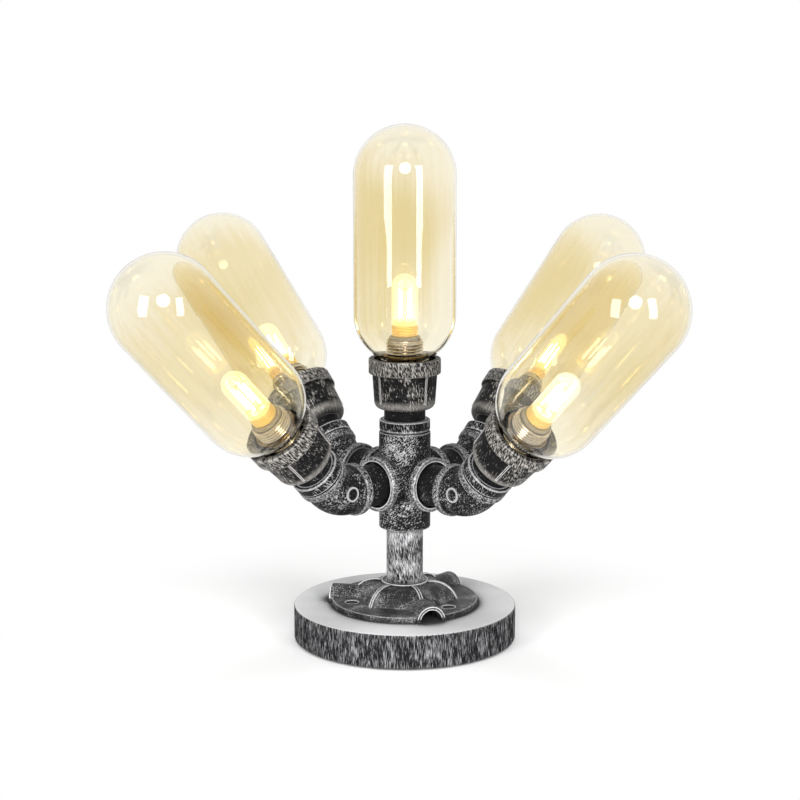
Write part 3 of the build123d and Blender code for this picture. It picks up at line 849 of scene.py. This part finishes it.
@dataclass
class CapsuleBulb:
    """A small capsule bulb: glass, grooved collar with pins, mount wires and filament sticks."""

    name: str
    pose: Matrix
    seat: float = 0.0494
    radius: float = 0.0089
    wall: float = 0.0010
    height: float = 0.042
    collar_height: float = 0.0075
    spigot: float = 0.003
    groove_count: int = 3
    groove_depth: float = 0.0005
    pin_length: float = 0.011
    pin_pitch: float = 0.006
    pin_wire: float = 0.0005
    pin_half_width: float = 0.001
    stick_count: int = 4
    stick_radius: float = 0.0009
    stick_circle: float = 0.0043
    stick_length: float = 0.021
    stick_sides: int = 14
    mount_wire: float = 0.00025
    wire_sides: int = 6
    stem_segments: int = 24
    collar_edge: float = 0.1
    glass_gap: float = 0.0001
    dome_steps: int = 20
    segments: int = 64

    def build(self, finishes: Finishes) -> None:
        """Makes the bulb's pieces.

        Args:
            finishes: The lamp's materials by name.
        """
        self._build_glass(finishes["bulb_glass"])
        self._build_collar(finishes["gold"])
        self._build_sticks(finishes)

    @property
    def body(self) -> str:
        """The body that the bulb moves with."""
        return f"bulb_{self.name}"

    @property
    def collar_top(self) -> float:
        """Height of the collar's upper face, where the glass stands."""
        return self.seat + self.collar_height

    def _build_glass(self, glass: bpy.types.Material) -> None:
        """Turns the domed envelope with its wall."""
        crown = self.seat + self.height - self.radius
        inside = self.radius - self.wall
        outer = [(self.radius, self.collar_top)] + arc((0.0, crown), self.radius, 0.0, 90.0, self.dome_steps)
        inner = [(inside, self.collar_top)] + arc((0.0, crown), inside, 0.0, 90.0, self.dome_steps)
        outer[-1] = (0.0, crown + self.radius)
        inner[-1] = (0.0, crown + inside)
        mesh = bmesh.new()
        turned(mesh, outer + inner[::-1], self.segments)
        dress(finish_mesh(f"bulb_envelope_{self.name}", mesh, self.pose), glass, self.body,
              [f"bulb_glass_{self.name}"])

    def _build_collar(self, gold: bpy.types.Material) -> None:
        """Turns the collar with its grooves and bends the two pins."""
        r, low, top = self.radius, self.seat, self.collar_top
        edge = self.collar_height * self.collar_edge
        pitch = (self.collar_height - 2.0 * edge) / (self.groove_count + 0.5)
        section: list[Point] = [(0.0, low), (r - edge, low), (r, low + edge)]
        for groove in range(self.groove_count):
            z = low + edge + pitch * (groove + 0.5)
            section += [(r, z), (r - self.groove_depth, z + pitch * 0.2), (r - self.groove_depth, z + pitch * 0.4),
                        (r, z + pitch * 0.6)]
        inside = r - self.wall - self.glass_gap
        section += [(r, top), (inside, top), (inside, top + self.spigot), (0.0, top + self.spigot)]
        collar = bmesh.new()
        turned(collar, section, self.segments)
        spread = Vector((0.0, self.pin_half_width, 0.0))
        for side in (-0.5, 0.5):
            foot = Vector((side * self.pin_pitch, 0.0, low))
            tip = foot - UP * self.pin_length
            bar(collar, tip - spread, foot - spread, self.pin_wire)
            bar(collar, tip + spread, foot + spread, self.pin_wire)
            bar(collar, tip - spread, tip + spread, self.pin_wire)
        dress(finish_mesh(f"bulb_collar_{self.name}", collar, self.pose), gold, self.body,
              [f"bulb_core_{self.name}"])

    def _build_sticks(self, finishes: Finishes) -> None:
        """Hangs the filament sticks on their mount wires round a flared glass stem."""
        sticks, wires = bmesh.new(), bmesh.new()
        foot = self.collar_top + self.spigot
        top = foot + self.stick_length
        for number in range(self.stick_count):
            angle = tau * (number + 0.5) / self.stick_count
            out = Vector((cos(angle), sin(angle), 0.0)) * self.stick_circle
            bar(sticks, out + UP * (foot + 0.0015), out + UP * (top - 0.0005), self.stick_radius, self.stick_sides)
            bar(wires, out * 0.5 + UP * (foot - 0.0005), out + UP * (foot + 0.002), self.mount_wire, self.wire_sides)
            bar(wires, out + UP * (top - 0.001), UP * (top + 0.0006), self.mount_wire, self.wire_sides)
        flare = [(0.0, foot - 0.0008), (0.003, foot - 0.0008), (0.0016, foot + 0.003), (0.0007, foot + 0.006)]
        tip = [(0.0006, top), (0.0012, top + 0.0006), (0.0, top + 0.0012)]
        turned(wires, flare + tip, self.stem_segments)
        dress(finish_mesh(f"bulb_sticks_{self.name}", sticks, self.pose), finishes["filament"], self.body)
        dress(finish_mesh(f"bulb_mount_{self.name}", wires, self.pose), finishes["wire"], self.body)


@dataclass
class FootPad:
    """The rubber foot under the base, with moulded rings."""

    radius: float = 0.0712
    thickness: float = 0.002
    edge: float = 0.0005
    ring_pitch: float = 0.006
    ring_width: float = 0.002
    ring_depth: float = 0.0003
    segments: int = 96

    def build(self, rubber: bpy.types.Material) -> None:
        """Turns the pad and lets it stand for its CAD node.

        Args:
            rubber: Its material.
        """
        section: list[Point] = [(0.0, 0.0)]
        count = int(self.radius / self.ring_pitch) - 1
        for number in range(1, count + 1):
            r, wide, deep = number * self.ring_pitch, self.ring_width, self.ring_depth
            section += [(r, 0.0), (r + wide * 0.3, deep), (r + wide * 0.7, deep), (r + wide, 0.0)]
        section += [(self.radius - self.edge, 0.0), (self.radius, self.edge), (self.radius, self.thickness),
                    (0.0, self.thickness)]
        mesh = bmesh.new()
        turned(mesh, section, self.segments)
        dress(finish_mesh("foot_pad", mesh, Matrix.Identity(4)), rubber, "stand", ["base_pad"])


@dataclass
class PipeFrame:
    """The iron frame: base disc, flange, stem, cross, nipples, elbows, collars and cups."""

    arms: tuple[str, ...]
    poses: dict[str, Matrix]
    cup_bands: tuple[Band, ...] = (Band(0.0012, 0.0056, 0.5, 0.0026, 0.6), Band(0.0244, 0.0346, 0.62, ticks=1.0))
    bead_bands: tuple[Band, ...] = (Band(-0.0208, -0.0156, 0.6, ticks=1.0),
                                    Band(-0.0428, -0.0376, 0.6, ticks=1.0, axis=(0.0, 0.70711, 0.70711)))
    cross_bead: Point = (0.0229, 0.0282)
    flange_edge: float = 0.0262
    dull: Colour = (0.6, 0.59, 0.58)
    light: Colour = (0.8, 0.8, 0.81)
    # the cups' silver is warmed as a painted glow of the bulbs on the cups
    cup_silver_warmed_by_painted_glow: Colour = (0.70, 0.665, 0.62)
    flange_coat: Colour = (0.008, 0.008, 0.0085)
    cup_girth: float = 0.022
    stem_girth: float = 0.0125
    collar_girth: float = 0.0172

    def dress_nodes(self, finishes: Finishes) -> None:
        """Paints the CAD nodes that stay in view.

        Args:
            finishes: The lamp's materials by name.
        """
        level = Matrix.Identity(4)
        paint(["base_disc"], DiscIron("disc_iron").make())
        paint(["pipe_flange"], RubbedIron("flange_iron", level, cover=0.31, coat=self.flange_coat, fleck=0.0004,
                                          edge_low=self.flange_edge, edge_gain=0.85, gloss=0.24).make())
        paint(["cross_fitting"], RubbedIron("cross_iron", level, cover=0.34, silver=self.light, fleck=0.0007,
                                             patch=0.02, drift=0.6, edge_reach=0.0016,
                                             bands=self._cross_bands()).make())
        paint(["stem_pipe"], RubbedIron("stem_iron", level, Rub.UPRIGHT, cover=0.42, silver=self.light,
                                        girth=self.stem_girth, fleck=0.00034, stretch=7.0, drift=0.6,
                                        soft=0.17).make())
        paint(["flange_screws"], finishes["blackened"])
        paint(["cord_bushing"], finishes["rubber"])
        paint(["terminal_block"], finishes["plastic"])
        for name, pose in self.poses.items():
            self._dress_head(name, pose, finishes)

    def _cross_bands(self) -> tuple[Band, ...]:
        """Silver on the beads of the cross's four side outlets."""
        slant = sqrt(0.5)
        return tuple(Band(*self.cross_bead, 0.55, ticks=1.0, axis=(x * slant, y * slant, 0.0))
                     for x in (-1.0, 1.0) for y in (-1.0, 1.0))

    def _dress_head(self, name: str, pose: Matrix, finishes: Finishes) -> None:
        """Paints one head's cup, collar, riser, leads and elbow.

        Args:
            name: The head's name.
            pose: Frame of its cup.
            finishes: The lamp's materials by name.
        """
        cup = RubbedIron(f"cup_iron_{name}", pose, Rub.UPRIGHT, cover=0.2, silver=self.cup_silver_warmed_by_painted_glow,
                         bright=self.dull, girth=self.cup_girth, fleck=0.00044, stretch=4.0, edge_reach=0.001,
                         soft=0.12, bands=self.cup_bands)
        collar = RubbedIron(f"collar_iron_{name}", pose, Rub.UPRIGHT, cover=0.32, girth=self.collar_girth,
                            fleck=0.0004, edge_reach=0.0016)
        elbow = RubbedIron(f"elbow_iron_{name}", pose, cover=0.26, bright=self.dull,
                           edge_reach=0.0018, edge_gain=0.7, bands=self.bead_bands)
        paint([f"cup_{name}"], cup.make())
        paint([f"lock_collar_{name}"], collar.make())
        bare = RubbedIron(f"pipe_iron_{name}", pose, cover=0.1).make()
        paint([f"riser_nipple_{name}"], bare)
        paint([f"leads_{name}"], finishes["rubber"])
        if name in self.arms:
            paint([f"elbow_{name}"], elbow.make())
            paint([f"arm_nipple_{name}"], bare)


class Outline(Enum):
    """Blender's names for the outline of an area light."""

    UPRIGHT = "RECTANGLE"
    ROUND = "DISK"


@dataclass(frozen=True)
class Softbox:
    """An area light that faces the lamp, placed in degrees from the front to the right and up from its middle."""

    name: str
    azimuth: float
    elevation: float
    distance: float
    size: Point
    watts: float
    outline: Outline = Outline.UPRIGHT
    through_glass: bool = False
    in_gloss: bool = True
    aim_height: float = 0.2

    def hang(self) -> None:
        """Hangs the light where it faces the lamp's middle."""
        data = bpy.data.lights.new(self.name, "AREA")
        data.shape = self.outline.value
        data.size, data.size_y = self.size
        data.energy = self.watts
        thing = bpy.data.objects.new(self.name, data)
        bpy.context.scene.collection.objects.link(thing)
        turn, rise = radians(self.azimuth), radians(self.elevation)
        towards = Vector((sin(turn) * cos(rise), -cos(turn) * cos(rise), sin(rise)))
        thing.location = towards * self.distance + UP * self.aim_height
        thing.rotation_euler = towards.to_track_quat("Z", "Y").to_euler()
        thing.visible_transmission = self.through_glass
        thing.visible_glossy = self.in_gloss


@dataclass
class Studio:
    """Camera, softboxes, white world and floor."""

    distance: float = 1.23922
    height: float = 0.39414
    azimuth: float = 1.61
    pitch: float = 10.44
    yaw: float = 0.15
    focal_pixels: float = 1861.7
    frame_pixels: float = 800.0
    sensor: float = 36.0
    clip_end: float = 50.0
    softboxes: tuple[Softbox, ...] = (
        Softbox("left_box", -36.0, 11.5, 1.9, (0.62, 1.16), 24.0),
        Softbox("right_box", 34.0, 11.5, 1.9, (0.5, 1.16), 21.0),
        Softbox("front_round", 2.0, 24.0, 2.1, (0.9, 0.9), 18.0, Outline.ROUND, through_glass=True),
        Softbox("top_box", 0.0, 86.0, 1.8, (1.2, 1.2), 17.0, in_gloss=False))
    world_light: float = 0.4
    floor_radius: float = 6.0
    floor_sides: int = 96
    floor_fade: Point = (0.07, 0.28)
    floor_gap: float = 0.0002
    floor_grain: float = 40.0
    floor_pale: Colour = (0.95, 0.95, 0.95)
    floor_shade: Colour = (0.93, 0.93, 0.93)

    def build(self) -> None:
        """Sets up the camera, the lights, the world and the floor."""
        self.place_camera()
        for softbox in self.softboxes:
            softbox.hang()
        self.light_world()
        self.lay_floor()

    def place_camera(self) -> None:
        """Stands the camera where the photograph was taken from."""
        data = bpy.data.cameras.new("photo_camera")
        data.sensor_fit = "HORIZONTAL"
        data.sensor_width = self.sensor
        data.lens = self.focal_pixels / self.frame_pixels * self.sensor
        data.clip_end = self.clip_end
        thing = bpy.data.objects.new("photo_camera", data)
        bpy.context.scene.collection.objects.link(thing)
        turn = radians(self.azimuth)
        thing.location = (self.distance * sin(turn), -self.distance * cos(turn), self.height)
        thing.rotation_euler = (radians(90.0 - self.pitch), 0.0, radians(self.azimuth + self.yaw))
        bpy.context.scene.camera = thing

    def light_world(self) -> None:
        """Makes the surroundings white to look at and dimmer as a light."""
        sheet = Sheet.for_world("studio_white")
        dim = sheet.node("ShaderNodeBackground", None, {"Color": WHITE, "Strength": self.world_light})
        full = sheet.node("ShaderNodeBackground", None, {"Color": WHITE, "Strength": 1.0})
        bpy.context.scene.world = sheet.close(sheet.mixed(sheet.seen(), sheet.out(dim), sheet.out(full)))

    def lay_floor(self) -> None:
        """Lays a pale round floor that fades into the white surroundings and keeps the shadow."""
        mesh = bmesh.new()
        bmesh.ops.create_circle(mesh, cap_ends=True, segments=self.floor_sides, radius=self.floor_radius)
        floor = finish_mesh("studio_floor", mesh, Matrix.Translation(-UP * self.floor_gap))
        sheet = Sheet.for_material("pale_floor")
        spot = sheet.place()
        x, y, _ = sheet.split(spot)
        far = ((x * x + y * y) ** 0.5).between(*self.floor_fade)
        colour = sheet.blend(sheet.noise(spot, self.floor_grain), self.floor_pale, self.floor_shade)
        matt = sheet.node("ShaderNodeBsdfDiffuse", None, {"Color": colour})
        white = sheet.node("ShaderNodeEmission", None, {"Color": WHITE, "Strength": 1.0})
        floor.data.materials.append(sheet.close(sheet.mixed(far * sheet.seen(), sheet.out(matt), sheet.out(white))))


@dataclass
class PipeLamp:
    """The whole lamp."""

    cross_height: float = 0.1114
    cross_half: float = 0.0334
    reach: float = 0.063
    tilt: float = 45.0
    elbow_leg: float = 0.0186
    cup_seat: float = 0.0156
    amber: Colour = (0.89, 0.80, 0.55)
    pale_amber: Colour = (0.975, 0.94, 0.83)
    amber_edge: Colour = (0.42, 0.34, 0.2)
    azimuths: dict[str, float] = field(default_factory=lambda: {
        "front_right": 45.0, "back_right": 135.0, "back_left": 225.0, "front_left": 315.0})

    def head_pose(self, name: str) -> Matrix:
        """Frame of a head's cup: z along the head and x level.

        Args:
            name: The head's name.

        Returns:
            The pose in the lamp's frame.
        """
        if name not in self.azimuths:
            return Matrix.Translation(UP * (self.cross_height + self.cross_half + self.cup_seat))
        turn, rise = radians(self.azimuths[name]), radians(self.tilt)
        outward = Vector((sin(turn), -cos(turn), 0.0))
        along = outward * cos(rise) + UP * sin(rise)
        across = outward.cross(UP)
        pose = Matrix((across, along.cross(across), along)).transposed().to_4x4()
        pose.translation = UP * self.cross_height + outward * self.reach + along * (self.elbow_leg + self.cup_seat)
        return pose

    @staticmethod
    def finishes() -> Finishes:
        """Makes the shared finishes.

        Returns:
            The materials by name.
        """
        return {
            "bulb_glass": GlassFinish("bulb_glass", (1.0, 0.97, 0.86), (1.0, 0.985, 0.92), (0.95, 0.84, 0.5),
                                      glow=(1.0, 0.92, 0.68), glow_strength=0.2).make(),
            "filament": GlowFinish("filament_phosphor", (1.0, 0.88, 0.52), (1.0, 0.94, 0.72), 11.0).make(),
            "wire": PlainFinish("mount_wire", (0.7, 0.6, 0.4), (0.6, 0.5, 0.3), 0.3, 1.0).make(),
            # the bulb's gold collar gets a painted glow: emission on a part that gives no light
            "gold": GlowFinish("gold_collar_painted_glow", (0.95, 0.66, 0.2), (1.0, 0.78, 0.34), 0.16, 0.8).make(),
            "nickel": PlainFinish("holder_nickel", (0.72, 0.65, 0.56), (0.5, 0.44, 0.36), 0.15, 1.0,
                                  groove=0.0016).make(),
            "brass": PlainFinish("nut_brass", (0.34, 0.24, 0.11), (0.24, 0.16, 0.07), 0.28, 1.0, groove=0.003).make(),
            "porcelain": PlainFinish("holder_porcelain", (0.52, 0.47, 0.38), (0.44, 0.39, 0.3), 0.3).make(),
            "rubber": PlainFinish("black_rubber", (0.016, 0.016, 0.017), (0.024, 0.024, 0.025), 0.75).make(),
            "plastic": PlainFinish("terminal_plastic", (0.78, 0.77, 0.73), (0.72, 0.71, 0.67), 0.5).make(),
            "blackened": PlainFinish("blackened_steel", (0.02, 0.02, 0.02), (0.05, 0.05, 0.05), 0.42, 0.9).make(),
        }

    def build(self) -> None:
        """Builds and dresses every sub-assembly."""
        finishes = self.finishes()
        poses = {name: self.head_pose(name) for name in ("centre", *self.azimuths)}
        PipeFrame(tuple(self.azimuths), poses).dress_nodes(finishes)
        FootPad().build(finishes["rubber"])
        for name, pose in poses.items():
            carrier = "stand" if name == "centre" else f"arm_{name}"
            amber = GlassFinish(f"amber_glass_{name}", self.amber, self.pale_amber, self.amber_edge, pose,
                                ends=60.0)
            Shade(name, pose).build(amber.make())
            Lampholder(name, carrier, pose).build(finishes["nickel"], finishes["brass"], finishes["porcelain"])
            CapsuleBulb(name, pose).build(finishes)


def main() -> None:
    """Builds the lamp and its studio."""
    logging.basicConfig(level=logging.INFO, format="%(name)s: %(message)s")
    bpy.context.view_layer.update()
    PipeLamp().build()
    Studio().build()
    bpy.context.scene.view_settings.view_transform = "Standard"


if __name__ == "__main__":
    main()
